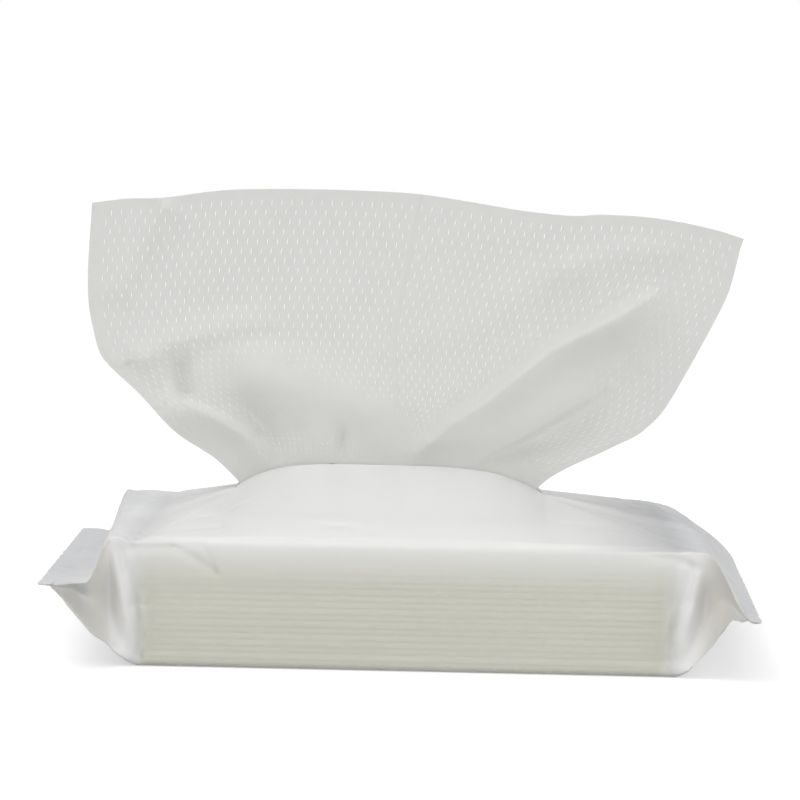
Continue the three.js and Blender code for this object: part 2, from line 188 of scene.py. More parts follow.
def hipRiseAt(x):   # the ridge of the tented top, which comes down from the slit to the ends of the block
    share = (pack["halfLength"] - np.abs(x)) / (pack["halfLength"] - np.abs(slitEndAt(x)))
    return np.where(slitShare(x) <= 1, lipRiseAt(x), pack["slitEndRise"] * np.clip(share, 0, 1))


def mouthHalfAt(x):   # half of the slit's width
    share = np.minimum(slitShare(x), 1)
    return pack["mouthHalf"] * np.sqrt(1 - share ** pack["mouthBend"])


def tentRiseAt(x, y):   # how far the film's top stands above the block
    slope = np.clip((pack["halfDepth"] - np.abs(y)) / (pack["halfDepth"] - pack["mouthHalf"]), 0, 1)
    hip = hipRiseAt(x)
    width = np.maximum(pack["ridgeLeast"], np.minimum(pack["ridgeSoftness"], hip))
    return np.maximum(0, softMin(lipRiseAt(x) * slope, hip, width))


print("pack: sizes set")


# The film: one web wrapped round the block, gusseted and crimped flat at both ends

film = {
    "wall": 0.12, "cornerRadius": 3.0, "finRadius": 1.0, "radiusFades": 0.25, "radiusShare": 0.7,
    "finReach": {-1: 40, 1: 36.5}, "finSkew": 6, "sealStart": 0.84,
    "leftFinHeight": 31.3, "leftFinTilt": 3.2, "rightFinHeight": 23.5, "rightFinTilt": 2.5,
    # where each end falls and rises, as shares of its reach: the left one at its front and its back
    "leftFall": ((0.27, 0.5), (0.5, 0.74)), "leftSwell": 1.5, "leftSwellSpan": 0.55,
    "rightFall": (0.34, 0.9), "rightBend": 1.75, "rightMeet": (0.76, 0.86), "bottomBend": 1.4,
    "rightFrontHeight": 25, "rightFrontRise": (0.04, 0.61), "rightFrontBend": 1.6,
    "gussetTuck": 10, "tuckLean": 0.2, "rightTuck": 0.7, "rightLean": 0.3, "tuckBend": 1.7,
    "tuckStart": (0.02, 0.3), "tuckEnd": 0.6, "tuckTaken": 0.8, "tuckTakenStart": (0.1, 0.4),
    "blockRings": 96, "endRings": 38, "slitShut": 1e-6,
    "topSteps": 44, "mouthSteps": 4, "sideSteps": 30, "cornerSteps": 5, "underSteps": 26,
    "crumple": 0.75, "crumpleFrom": (-28, 6), "crumpleStops": (0.72, 0.9), "crumpleLevel": 0.3,
    "crumpleLowest": -0.1, "fineCreases": 0.5, "swell": 0.12, "flatUnder": (2, 6),
    "creaseBend": 1.3, "creaseFacing": (0.35, 0.6),
    "toothPitch": 3.0, "toothDepth": 1.1, "crimpPitch": 1.5, "crimpDepth": 0.04, "crimpFrom": (0.82, 0.86),
    "backSealHalf": 5.5, "backSealInset": 1, "backSealTop": -0.02, "backSealLow": -0.1, "backSealRib": 0.05,
    "backSealRows": 5, "backSealSteps": 4,
}


def endTop(side, e, v):
    # height of the upper web at share e of an end's reach, with v from -1 at the front to 1 at the back
    back = (v + 1) / 2
    if side < 0:
        front, rear = film["leftFall"]
        fall = smoothStep(mix(front[0], rear[0], back), mix(front[1], rear[1], back), e)
        swell = film["leftSwell"] * np.sin(math.pi * np.clip(e / film["leftSwellSpan"], 0, 1)) * (1 - back)
        return mix(pack["height"] + swell, film["leftFinHeight"] - film["leftFinTilt"] * v, fall)
    fall = mix(smoothStep(*film["rightFall"], e), np.clip(e, 0, 1) ** film["rightBend"], back)
    return mix(pack["height"], film["rightFinHeight"] - film["rightFinTilt"] * v, fall)


def endBottom(side, e, v):   # height of the lower web at the same place
    seal, skins = film["sealStart"], 2 * film["wall"]
    top = endTop(side, e, v) - skins
    rise = np.clip(e / seal, 0, 1) ** film["bottomBend"]
    if side < 0:
        return np.minimum(top, mix(0.0, endTop(side, seal, v) - skins, rise))
    start, span = film["rightFrontRise"]
    front = film["rightFrontHeight"] * np.clip((e - start) / span, 0, 1) ** film["rightFrontBend"]
    rear = (endTop(side, seal, 1.0) - skins) * rise
    return np.minimum(top, mix(mix(front, rear, (v + 1) / 2), top, smoothStep(*film["rightMeet"], e)))


def tuckLeftAt(e):   # the gusset's tuck opens out again towards the seal
    return 1 - smoothStep(film["tuckEnd"], film["sealStart"], e)


def sideWall(side, v, e, corner, radius, top, bottom):
    # the front or back of one ring, from its upper corner to its lower one, tucked in at the gusset
    rightFront = side > 0 and v < 0
    turn = np.linspace(0, math.pi / 2, film["cornerSteps"] + 1)[1:-1]
    share = np.linspace(1, -1, film["sideSteps"] + 1)
    lead = e - (film["rightLean"] if rightFront else film["tuckLean"]) * (share + 1) / 2
    deep = film["gussetTuck"] * (film["rightTuck"] if rightFront else 1)
    tuck = deep * smoothStep(*film["tuckStart"], lead) * tuckLeftAt(e)
    flat = corner - radius
    y = corner - tuck * (1 - np.abs(share) ** film["tuckBend"])
    z = (top + bottom) / 2 + share * ((top - bottom) / 2 - radius)
    upper = top - radius + radius * np.cos(turn)
    lower = bottom + radius - radius * np.sin(turn)
    return (np.concatenate([flat + radius * np.sin(turn), y, flat + radius * np.cos(turn)]),
            np.concatenate([upper, z, lower]))


def ringPoints(side, e, x0):
    # one ring of the tube, from the middle of the front half of the top round to the same place
    mouth = float(mouthHalfAt(np.array(x0))) if e == 0 else 0.0
    taken = film["tuckTaken"] * film["gussetTuck"] * smoothStep(*film["tuckTakenStart"], e) * tuckLeftAt(e)
    corner, flat, ySide, zSide = {}, {}, {}, {}
    for v in (-1, 1):
        top, bottom = float(endTop(side, e, v)), float(endBottom(side, e, v))
        half = (top - bottom) / 2
        corner[v] = pack["quarterGirth"] - math.hypot(half, taken)
        widest = mix(film["cornerRadius"], film["finRadius"], float(smoothStep(0, film["radiusFades"], e)))
        radius = min(widest, half * film["radiusShare"])
        flat[v] = corner[v] - radius
        ySide[v], zSide[v] = sideWall(side, v, e, corner[v], radius, top, bottom)
    front = mix(-flat[-1], -mouth, np.linspace(0, 1, film["topSteps"] + 1))
    gap = mix(-mouth, mouth, np.linspace(0, 1, film["mouthSteps"] + 1))[1:-1]
    back = mix(mouth, flat[1], np.linspace(0, 1, film["topSteps"] + 1))
    yTop = np.concatenate([front, gap, back])
    zTop = endTop(side, e, np.clip(yTop / corner[1], -1, 1))
    under = mix(flat[1], -flat[-1], np.linspace(0, 1, film["underSteps"] + 1))
    zUnder = endBottom(side, e, np.clip(under / corner[1], -1, 1))
    y = np.concatenate([yTop, ySide[1], under, -ySide[-1][::-1]])
    z = np.concatenate([zTop, zSide[1], zUnder, zSide[-1][::-1]])
    return y, z


def filmReach(side, y):
    return film["finReach"][side] + film["finSkew"] * y / pack["quarterGirth"]


def filmGrid():   # rings round the tube, from the left fin to the right one
    shares = np.linspace(0, 1, film["endRings"] + 1)[1:]
    ends = {-1: [], 1: []}
    for side, rings in ends.items():
        for e in shares:
            y, z = ringPoints(side, e, 0)
            rings.append(np.stack([side * (pack["halfLength"] + e * filmReach(side, y)), y, z], axis=1))
    ease = 0.5 - 0.5 * np.cos(np.linspace(0, math.pi, film["blockRings"] // 2 + 1))
    slit = mix(pack["slitLeft"], pack["slitRight"], ease)
    outer = film["blockRings"] // 4
    left = np.linspace(-pack["halfLength"], pack["slitLeft"], outer + 1)[:-1]
    right = np.linspace(pack["slitRight"], pack["halfLength"], outer + 1)[1:]
    topCount = 2 * film["topSteps"] + film["mouthSteps"] + 1
    middle = []
    for x in np.concatenate([left, slit, right]):
        y, z = ringPoints(-1, 0.0, x)
        along = np.full(len(y), x)
        lift = np.where(np.arange(len(y)) < topCount, tentRiseAt(along, y), 0)
        middle.append(np.stack([along, y, z + lift], axis=1))
    return np.array(ends[-1][::-1] + middle + ends[1])


def filmFaces(grid):
    # quads round the tube, without those over the open slit, and with its two lips joined beyond it
    rows, count = grid.shape[:2]
    lipFront, lipBack = film["topSteps"], film["topSteps"] + film["mouthSteps"]
    width = np.abs(grid[:, lipBack, 1] - grid[:, lipFront, 1])
    weld = np.arange(rows * count).reshape(rows, count)
    for r in range(rows):
        if width[r] < film["slitShut"]:
            weld[r, lipFront + 1:lipBack + 1] = weld[r, lipFront]
    quads = []
    for r in range(rows - 1):
        for i in range(count):
            j = (i + 1) % count
            if not lipFront <= i < lipBack:
                quads.append((weld[r, i], weld[r + 1, i], weld[r + 1, j], weld[r, j]))
    return quads


# stretch creases in the film, each with its rise off the film, its half width and the points that it runs
# through: x and y where it is seen from the top, x and z where it is seen from the front or the back
filmCreases = {
    "top": [
        (0.8, 2.6, [[-108, -80], [-98, -62], [-86, -36], [-74, -12], [-70, -3]]),
        (0.5, 2.2, [[-112, -76], [-96, -50], [-80, -22]]),
        (0.6, 2.4, [[-103, -70], [-86, -60], [-70, -56]]),
        (0.5, 2.4, [[-100, -66], [-80, -46], [-64, -36]]),
        (0.7, 2.6, [[-118, 60], [-98, 40], [-78, 12], [-71, 3]]),
        (0.4, 2.4, [[-124, 4], [-100, 6], [-76, 2]]),
        (0.8, 2.6, [[112, -76], [98, -56], [80, -32], [60, -8], [55, -2]]),
        (0.6, 2.4, [[118, -62], [98, -34], [74, -10], [58, -2]]),
        (0.6, 2.4, [[106, -66], [84, -52], [62, -44]]),
        (0.6, 2.4, [[124, -20], [104, -14], [84, -18], [66, -4]]),
        (0.7, 2.6, [[122, 56], [98, 36], [74, 12], [56, 2]]),
        (0.4, 2.4, [[128, 20], [106, 16], [86, 8]]),
        (0.8, 2.2, [[-34, -71], [-29.5, -61], [-27.6, -58], [-18, -61], [-11, -71]]),
    ],
    "front": [
        (1.2, 2.6, [[-107, 45], [-104, 34], [-101, 18], [-100, 3]]),
        (0.6, 1.8, [[-98, 30], [-96, 16], [-100, 3]]),
        (0.7, 1.2, [[-103, 24], [-97, 23.5]]),
        (0.9, 2.2, [[-104, 45], [-88, 46], [-78, 41], [-71, 36]]),
        (0.5, 1.8, [[-88, 46], [-76, 46.5], [-71, 36]]),
        (1.2, 2.6, [[107, 42], [105, 30], [101, 14], [98, 3]]),
        (1.0, 2.2, [[94, 46], [102, 45], [110, 42]]),
        (0.7, 1.4, [[99, 3], [102, 7], [101, 12], [106, 9]]),
    ],
    "back": [
        (1.1, 2.6, [[-108, 44], [-102, 24], [-103, 4]]),
        (1.1, 2.6, [[108, 44], [102, 24], [103, 4]]),
        (0.7, 2.2, [[-100, 45], [-82, 45], [-72, 38]]),
    ],
}
faceNormals = {"top": (0, 0, 1), "front": (0, -1, 0), "back": (0, 1, 0)}


def creasePush(face, crease, grid, outward):   # how far one crease lifts the film
    rise, half, line = crease
    points = np.array(line, float)
    across = grid[..., [0, 1]] if face == "top" else grid[..., [0, 2]]
    nearest = np.full(across.shape[:2], np.inf)
    for start, end in zip(points, points[1:]):
        step = end - start
        share = np.clip((across - start) @ step / step.dot(step), 0, 1)
        nearest = np.minimum(nearest, np.linalg.norm(across - start - share[..., None] * step, axis=-1))
    facing = smoothStep(*film["creaseFacing"], outward @ np.array(faceNormals[face], float))
    return rise * facing * np.maximum(0, 1 - nearest / half) ** film["creaseBend"]


def wrinkleFilm(grid):   # slack over the block, crumpled ends, stretch creases and ribbed end seals
    x, y, z = grid[..., 0], grid[..., 1], grid[..., 2]
    normal = gridNormals(grid)
    out = np.abs(x) - pack["halfLength"]
    reach = np.where(x < 0, film["finReach"][-1], film["finReach"][1])
    endMask = smoothStep(*film["crumpleFrom"], out) * (1 - smoothStep(*film["crumpleStops"], out / reach))
    # broad creases and finer ones, with the grain of each noise in millimetres
    crumple = creaseNoise(x / 17 + y / 31, y / 23 - z / 19, 3) - film["crumpleLevel"]
    crumple += film["fineCreases"] * creaseNoise(x / 8 - z / 14, y / 11 + x / 21, 8)
    slack = latticeNoise(x / 46, (y + z) / 38, 5)
    # over the block the film only swells outwards, and its underside stays flat
    swell = film["swell"] * (1 + slack)
    ends = film["crumple"] * np.maximum(crumple, film["crumpleLowest"])
    push = smoothStep(*film["flatUnder"], z) * mix(swell, ends, endMask)
    outward = normal * np.sign(np.sum(normal * (grid - [0, 0, pack["height"] / 2]), axis=-1, keepdims=True))
    for face, creases in filmCreases.items():
        for crease in creases:
            push = push + creasePush(face, crease, grid, outward)
    seal = smoothStep(*film["crimpFrom"], out / (reach + film["finSkew"] * y / pack["quarterGirth"]))
    moved = grid + normal * push[..., None]
    moved[..., 2] += film["crimpDepth"] * np.sin(2 * math.pi * out / film["crimpPitch"]) * seal
    return moved


def serrate(grid):   # cuts the teeth of both fins
    for ring, side in ((0, -1), (len(grid) - 1, 1)):
        y = grid[ring, :, 1]
        tooth = np.abs((y / film["toothPitch"]) % 1 - 0.5) * 2
        grid[ring, :, 0] -= side * tooth * film["toothDepth"]
    return grid


def backSeal():
    # the strip where the two edges of the web lap under the pack, pressed with fine cross ribs
    reach, half = pack["halfLength"] - film["backSealInset"], film["backSealHalf"]
    along = np.arange(-reach, reach, film["crimpPitch"] / film["backSealSteps"])
    x, y = np.meshgrid(along, np.linspace(-half, half, film["backSealRows"]), indexing="ij")
    rib = 0.5 + 0.5 * np.sin(2 * math.pi * x / film["crimpPitch"])
    low = np.stack([x, y, film["backSealLow"] - film["backSealRib"] * rib], axis=-1)
    high = np.stack([x, y, np.full_like(x, film["backSealTop"])], axis=-1)
    points = np.vstack([high.reshape(-1, 3), low.reshape(-1, 3)])
    return points, thickFaces(gridQuads(*x.shape), x.size)


def buildFilm():
    grid = serrate(wrinkleFilm(filmGrid()))
    inner = grid - gridNormals(grid) * film["wall"]
    faces = thickFaces(filmFaces(grid), grid.shape[0] * grid.shape[1])
    faces = [tuple(dict.fromkeys(int(i) for i in face)) for face in faces]   # a welded corner counts once
    faces = [face for face in faces if len(face) > 2]
    points, faces = dropUnused(np.vstack([grid.reshape(-1, 3), inner.reshape(-1, 3)]), faces)
    sealPoints, sealFaces = backSeal()
    faces += [tuple(i + len(points) for i in face) for face in sealFaces]
    piece = makeMesh("film_web", np.vstack([points, sealPoints]), faces)
    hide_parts("film_wrapper")
    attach(piece, "root")
    print("film:", len(faces), "faces")
    return piece


filmPiece = buildFilm()


# The pulled cloth: a slotted nonwoven sheet, gathered at the slit and fanned out above it

cloth = {
    "thickness": 0.12, "bendRadius": 6, "hiddenRows": 34,
    # the neck, where the cloth passes the slit, and the pleats in it
    "neckInset": 4, "neckDepth": 2, "neckSag": 4, "neckLean": 0.95, "neckEase": 1.02, "leanHeight": 0.03,
    "neckRows": [0.004, 0.008, 0.012, 0.016, 0.021], "mouthFit": 0.5, "fullPush": 9,
    "pleatAmplitude": 11, "pleatClosed": 0.6, "pleatGap": 1.3, "gatherBend": 2.2,
    "creaseRound": 2.6, "creaseDip": 0.4, "dipOpens": 0.25,
    # the fan above it
    "foldFull": 0.22, "foldSharpness": 1.2, "sway": 3, "swayWaves": 1.4, "swayStart": 0.15,
    "drape": 0.9, "drapeGrain": (9, 5), "drapeFrom": (0.1, 0.5),
    "creaseHeight": 0.7, "creaseHalf": 2.0, "creaseFrom": (0.3, 0.45),
    # the part inside the pack, which turns to the back and lies on the block
    "hemSpread": 22, "spreadLength": 60, "floorGap": 0.8, "lyingShare": 0.85,
    "lyingShift": 1, "lyingClear": 2.4, "lyingLeast": 0.2,
    # the slots, in staggered rows
    "slotPitch": 4.3, "rowPitch": 3.7, "slotWidth": 0.24, "slotHeight": 2.3, "slotSides": 6, "slotHem": 1,
    "slotFoot": 3, "slotEnds": 4, "bandHalf": 1.2, "slotPinch": 0.3, "slotSqueeze": 0.4,
    "slotShut": (3, 9), "slotOpens": (0.03, 0.12), "slotClosed": 0.8,
}
cloth["neckLeft"] = pack["slitLeft"] + cloth["neckInset"]
cloth["neckRight"] = pack["slitRight"] - cloth["neckInset"]


def neckHeightAt(x):
    return pack["height"] + lipRiseAt(np.asarray(x, float)) - cloth["neckDepth"]


def hemFrom(neckX, points):
    return smoothLine([[neckX, float(neckHeightAt(neckX))]] + points)


# the three hems seen from the front, as x and z
leftHem = hemFrom(cloth["neckLeft"], [
    [-78, 71.5], [-93.5, 81.5], [-110, 97.4], [-121.5, 108], [-125.5, 113],
    [-128, 121.3], [-130, 131.4], [-130.6, 143.8], [-130, 158.3], [-129, 173.7]])
rightHem = hemFrom(cloth["neckRight"], [
    [57, 67], [80.7, 79], [91, 84], [96.5, 88.5], [101.7, 94.3],
    [110.5, 109.5], [121.1, 130.2], [126.7, 142.8], [131, 161.2], [132, 164.1]])
topHem = smoothLine([
    [-129, 173.7], [-115, 175.6], [-101, 176.2], [-77, 179.6], [-51, 180.6], [-28, 180.6], [1, 179.6],
    [27, 176.1], [44, 173.6], [64, 172], [75, 172.7], [99, 171.4], [122, 167.1], [132, 164.1]])

# folds of the fan seen from the front: each crest's rise to the front, its half widths above and below the
# line, the share of the line from which it fades, and the points that the line runs through
folds = [
    (6.5, 2.0, 16, 0.7, [[-51, 68], [-62.5, 79], [-73, 85], [-83, 90], [-93.5, 94.6], [-98, 104]]),
    (10.5, 12, 19, 0.7, [
        [-4, 74], [-7, 82], [-13, 88.5], [-24, 93.5], [-37, 97.5], [-52, 103], [-66, 109], [-86, 115]]),
    (-5.5, 6, 5, 0.7, [[-52, 70], [-58, 82], [-68, 93], [-76, 98]]),
    (-5, 5, 4, 0.5, [[-92, 98], [-93.5, 106], [-96, 120]]),
    (4, 8, 9, 0.15, [[-38, 68], [-37, 80], [-42, 98]]),
    (3.4, 8, 8, 0.15, [[-14, 68], [-14, 78], [-17, 92]]),
    (-4.2, 2.2, 2.2, 0.4, [[-27.5, 68], [-27, 80], [-28, 90]]),
    (12, 5, 18, 0.75, [
        [2, 70], [9, 81], [20, 90], [30, 97], [47, 111], [59, 120], [78, 130], [92, 138], [107, 145]]),
    (6, 11, 2.4, 0.7, [[18, 67], [30, 76], [45, 84], [60, 93], [85, 108]]),
    (3, 13, 6, 0.8, [[24, 64], [46, 65.5], [66, 69], [90, 81]]),
    (3, 8, 5, 0.6, [[-108, 112], [-80, 123], [-42, 130]]),
    (2.2, 8, 8, 0.9, [[-118, 140], [-108, 160], [-100, 176]]),
    (2, 12, 9, 0.7, [[8, 120], [40, 138], [70, 160]]),
    (2.4, 6, 9, 0.7, [[60, 150], [84, 158], [112, 156]]),
]
folds = [fold[:4] + (smoothLine(fold[4], 24)["line"],) for fold in folds]


def foldPushAt(x, z):   # how far all the folds together push the fan to the front
    push = np.zeros_like(x)
    for rise, above, below, fadeFrom, points in folds:
        nearest = np.full_like(x, np.inf)
        along, sideOf = np.zeros_like(x), np.zeros_like(x)
        for i in range(len(points) - 1):
            start, step = points[i], points[i + 1] - points[i]
            share = np.clip(((x - start[0]) * step[0] + (z - start[1]) * step[1]) / step.dot(step), 0, 1)
            dx, dz = x - start[0] - share * step[0], z - start[1] - share * step[1]
            gap = np.hypot(dx, dz)
            closer = gap < nearest
            nearest = np.where(closer, gap, nearest)
            along = np.where(closer, (i + share) / (len(points) - 1), along)
            # above the line is on its left or on its right, by which way the line runs
            across = (step[0] * dz - step[1] * dx) * (1 if step[0] >= 0 else -1)
            sideOf = np.where(closer, np.sign(across), sideOf)
        width = np.where(sideOf > 0, above, below)
        fade = 1 - smoothStep(fadeFrom, 1, along)
        push += rise * fade * np.exp(-cloth["foldSharpness"] * (nearest / width) ** 2)
    return push


# the gather: broad fronts pressed together, with a closed pleat behind each crease between them
pleats = [   # where the crease leaves the slit, and the share of the visible height at which its pleat ends
    {"x": x, "end": end} for x, end in ((-49, 0.014), (-27, 0.02), (-5, 0.014), (17, 0.014), (38, 0.014))
]


def roomAt(x):   # half of the slit's width that the gathered cloth may take
    room = mouthHalfAt(x) - cloth["mouthFit"] - cloth["thickness"]
    return np.minimum(cloth["pleatAmplitude"], np.maximum(0, room))


def placePleats():
    # each pleat takes cloth by the room it has in the slit, and the fronts between them take the rest
    neckLength = cloth["neckRight"] - cloth["neckLeft"]
    rooms = [float(roomAt(pleat["x"])) for pleat in pleats]
    spare = 1 - cloth["neckEase"] * neckLength / pack["clothWidth"]
    taken = 0.0
    for pleat, room in zip(pleats, rooms):
        pleat["half"] = spare / 2 * room / sum(rooms)
        front = (pleat["x"] - cloth["neckLeft"]) / neckLength * (1 - spare)
        pleat["u"] = front + taken + pleat["half"]
        taken += 2 * pleat["half"]


placePleats()


def pleatPlace(u, s):
    # the front coordinate of a place, its depth in a pleat from 0 to 1, its side, and its dip by a crease
    u, s = np.broadcast_arrays(np.asarray(u, float), np.asarray(s, float))
    before, total, depth, side, length, dip = (np.zeros_like(u) for _ in range(6))
    for pleat in pleats:
        opening = 1 - smoothStep(0, pleat["end"], s)
        half = np.maximum(pleat["half"] * opening, 1e-6)
        offset = u - pleat["u"]
        before = before + np.clip(offset + half, 0, 2 * half)
        total = total + 2 * half
        inside = np.abs(offset) < half
        depth = np.where(inside, 1 - np.abs(offset) / half, depth)
        side = np.where(inside, np.sign(offset), side)
        length = np.where(inside, half * pack["clothWidth"], length)
        edge = np.maximum(0, np.abs(offset) - half) * pack["clothWidth"]
        near = np.exp(-(edge / cloth["creaseRound"]) ** 2)
        dip = np.maximum(dip, near * smoothStep(0, cloth["dipOpens"], opening))
    return (u - before) / (1 - total), depth, side, length, dip


def neckXAt(w):
    return mix(cloth["neckLeft"], cloth["neckRight"], w)


def frontPlace(w, s):   # the fan seen from the front, a patch between the slit and the three hems
    neckX = neckXAt(w)
    neckZ = neckHeightAt(neckX)
    leftX, leftZ = onLine(leftHem, s)
    rightX, rightZ = onLine(rightHem, s)
    topX, topZ = onLine(topHem, w)
    cornerTop = [mix(leftHem["line"][-1][k], rightHem["line"][-1][k], w) for k in range(2)]
    cornerNeck = [mix(leftHem["line"][0][k], rightHem["line"][0][k], w) for k in range(2)]
    pull = (1 - s) ** cloth["gatherBend"]   # the gather lets go soon above the slit
    x = mix(leftX, rightX, w) + (neckX - cornerNeck[0]) * pull + (topX - cornerTop[0]) * s
    z = mix(leftZ, rightZ, w) + (neckZ - cornerNeck[1]) * pull + (topZ - cornerTop[1]) * s
    return x, z


def centreCreaseAt(u, s):
    ridge = np.maximum(0, 1 - np.abs(u - 0.5) * pack["clothWidth"] / cloth["creaseHalf"])
    return cloth["creaseHeight"] * ridge * smoothStep(*cloth["creaseFrom"], s)


def drapeAt(w, s):   # the fan's slow sway and its small unevenness
    sway = cloth["sway"] * np.sin(2 * math.pi * (cloth["swayWaves"] * w + cloth["swayStart"])) * s
    grainW, grainS = cloth["drapeGrain"]
    uneven = cloth["drape"] * latticeNoise(w * grainW, s * grainS, 2)
    return sway + uneven * smoothStep(*cloth["drapeFrom"], s)


def neckLeanAt(w):   # how far to the front the gathered cloth stands, by the fold that starts there
    x, z = frontPlace(w, np.full_like(w, cloth["leanHeight"]))
    share = np.clip(foldPushAt(x, z) / cloth["fullPush"], 0, 1)
    return roomAt(neckXAt(w)) * mix(cloth["neckLean"], 1, share)


def pleatGap(depth):   # half of the space between the two sides of a pleat, which is closed at the front
    return cloth["pleatClosed"] * cloth["thickness"] + cloth["pleatGap"] * np.sin(math.pi * depth) ** 2


def visiblePlace(u, s):
    w, depth, side, length, dip = pleatPlace(u, s)
    x, z = frontPlace(w, s)
    free = smoothStep(0, cloth["foldFull"], s)
    y = -mix(neckLeanAt(w), foldPushAt(x, z) + centreCreaseAt(u, s) + drapeAt(w, s), free)
    y = y + cloth["creaseDip"] * dip * (1 - free) + depth * length
    return np.stack([x + side * pleatGap(depth), y, z], axis=-1)


def lyingRoomAt(x, y):   # half of the height between the block and the film that the cloth may take
    height = tentRiseAt(x, y + cloth["lyingShift"]) - cloth["lyingClear"]
    return np.maximum(cloth["lyingLeast"], height / 2)


def hiddenPlace(u, length):   # the cloth below the slit, by its length: it hangs, turns and lies flat
    w, depth, side, sideLength, _ = pleatPlace(u, 0.0)
    neckX = neckXAt(w)
    neckZ = neckHeightAt(neckX)
    room = roomAt(neckX)
    radius = cloth["bendRadius"]
    x = neckX + smoothStep(0, cloth["spreadLength"], length) * cloth["hemSpread"] * (2 * w - 1)
    floor = pack["stackTop"] + cloth["floorGap"]
    bendAmplitude = np.minimum(room, lyingRoomAt(x, radius) * cloth["lyingShare"])
    drop = np.maximum(0, neckZ - floor - bendAmplitude - radius)
    turned = np.clip((length - drop) / radius, 0, math.pi / 2)
    flat = np.maximum(0, length - drop - radius * math.pi / 2)
    y = radius * (1 - np.cos(turned)) + flat
    upright = mix(neckLeanAt(w), bendAmplitude, np.clip(length / np.maximum(drop, 1), 0, 1))
    lying = np.where(flat > 0, lyingRoomAt(x, y) * cloth["lyingShare"], upright)
    amplitude = np.minimum(upright, lying)
    reach = np.minimum(sideLength, 2 * room) / np.maximum(room, 0.1)
    wave = amplitude * (1 - depth * reach)
    lowest = floor + np.minimum(bendAmplitude, amplitude)
    z = np.where(turned > 0, lowest + radius * (1 - np.sin(turned)), neckZ - length)
    x = x + side * pleatGap(depth)
    return np.stack([x, y - wave * np.cos(turned), z - wave * np.sin(turned)], axis=-1)


def clothPlace(u, above):   # above is the share of the visible height, or less than 0 inside the pack
    visible = mix(leftHem["length"], rightHem["length"], u)
    hidden = pack["clothHeight"] - visible + cloth["neckSag"] * (1 - (2 * u - 1) ** 2)
    upper = visiblePlace(u, np.clip(above, 0, 1))
    lower = hiddenPlace(u, np.clip(-above, 0, 1) * hidden)
    return np.where((above >= 0)[..., None], upper, lower)


def slotColumns():
    # shares of the width: both edges of every slot, in the even rows and the odd ones
    pitch, half, width = cloth["slotPitch"], cloth["slotWidth"] / 2, pack["clothWidth"]
    count = int((width - cloth["slotSides"]) / pitch)
    start, middle = (width - (count - 1) * pitch) / 2, width / 2
    lines, kinds = [0.0], []
    for i in range(count):
        for shift, kind in ((0, "even"), (pitch / 2, "odd")):
            centre = start + i * pitch + shift
            if abs(centre - middle) < pitch / 4 + 0.01:   # the centre crease has no slots
                kinds += ["web", "web", "web"]
                lines += [middle - cloth["bandHalf"], middle, middle + cloth["bandHalf"]]
            elif centre + half < width - cloth["slotHem"]:
                kinds += ["web", kind]
                lines += [centre - half, centre + half]
    return np.array(lines + [width]) / width, kinds + ["web"]


def slotRows():
    # shares of the visible height: the hidden rows, the neck's, and the foot, middle and top of every slot
    visible = (leftHem["length"] + rightHem["length"]) / 2
    pitch, height = cloth["rowPitch"], cloth["slotHeight"]
    lines = [-s for s in np.linspace(1, 0, cloth["hiddenRows"] + 1)] + cloth["neckRows"]
    kinds = ["plain"] * cloth["hiddenRows"] + ["web"] * len(cloth["neckRows"])
    for i in range(int((visible - cloth["slotEnds"]) / pitch)):
        low = (cloth["slotFoot"] + i * pitch + (pitch - height) / 2) / visible
        high = low + height / visible
        kind = "even" if i % 2 == 0 else "odd"
        kinds += ["web", kind, kind]
        lines += [low, (low + high) / 2, high]
    return np.array(lines + [1.0]), kinds + ["web"]


def slotShutAt(u, above):   # the slots close where the cloth is bunched, at the slit and along the rolls
    upper = np.clip(above, 0, 1)
    x, z = frontPlace(pleatPlace(u, upper)[0], upper)
    bunched = smoothStep(*cloth["slotShut"], foldPushAt(x, z))
    return np.maximum(bunched, 1 - smoothStep(*cloth["slotOpens"], upper))


def pinchSlots(u, shut, rowKinds, columnKinds):   # pinches each slot's ends to its middle line
    width = cloth["slotWidth"] / pack["clothWidth"]
    feet = [r for r, kind in enumerate(rowKinds) if kind in ("even", "odd") and rowKinds[r - 1] == "web"]
    for r in feet:
        sides = [c for c, kind in enumerate(columnKinds) if kind == rowKinds[r]]
        for row, pinch in ((r, cloth["slotPinch"]), (r + 1, 0), (r + 2, cloth["slotPinch"])):
            for c in sides:
                move = width * max(pinch, cloth["slotSqueeze"] * shut[r + 1, c])
                u[row, c] += move
                u[row, c + 1] -= move


def buildPulledCloth():
    columns, columnKinds = slotColumns()
    rows, rowKinds = slotRows()
    u, above = np.meshgrid(columns, rows)
    shut = slotShutAt(u, above)
    pinchSlots(u, shut, rowKinds, columnKinds)
    count = len(columns)
    quads = []
    for r, rowKind in enumerate(rowKinds):
        for c, columnKind in enumerate(columnKinds):
            slot = rowKind in ("even", "odd") and columnKind == rowKind
            if not slot or shut[r, c] >= cloth["slotClosed"]:
                a = r * count + c
                quads.append((a, a + 1, a + count + 1, a + count))
    faces = thickFaces(quads, len(rows) * count)
    points, faces = dropUnused(bothSkins(clothPlace(u, above), cloth["thickness"]), faces)
    piece = makeMesh("pulled_sheet", points, faces)
    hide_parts("pulled_cloth")
    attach(piece, "root")
    print("pulled cloth:", len(faces), "faces")
    return piece


pulledPiece = buildPulledCloth()


# The folded cloths inside: each a hairpin with a soft round fold, lying on the one below

block = {
    "layer": 1.16, "gap": 0.08, "foldSteps": 10, "depthSteps": 26, "lengthSteps": 40,
    "edgeWave": 0.0035, "waveGrain": (37, 41), "waveShift": 5.3,
}


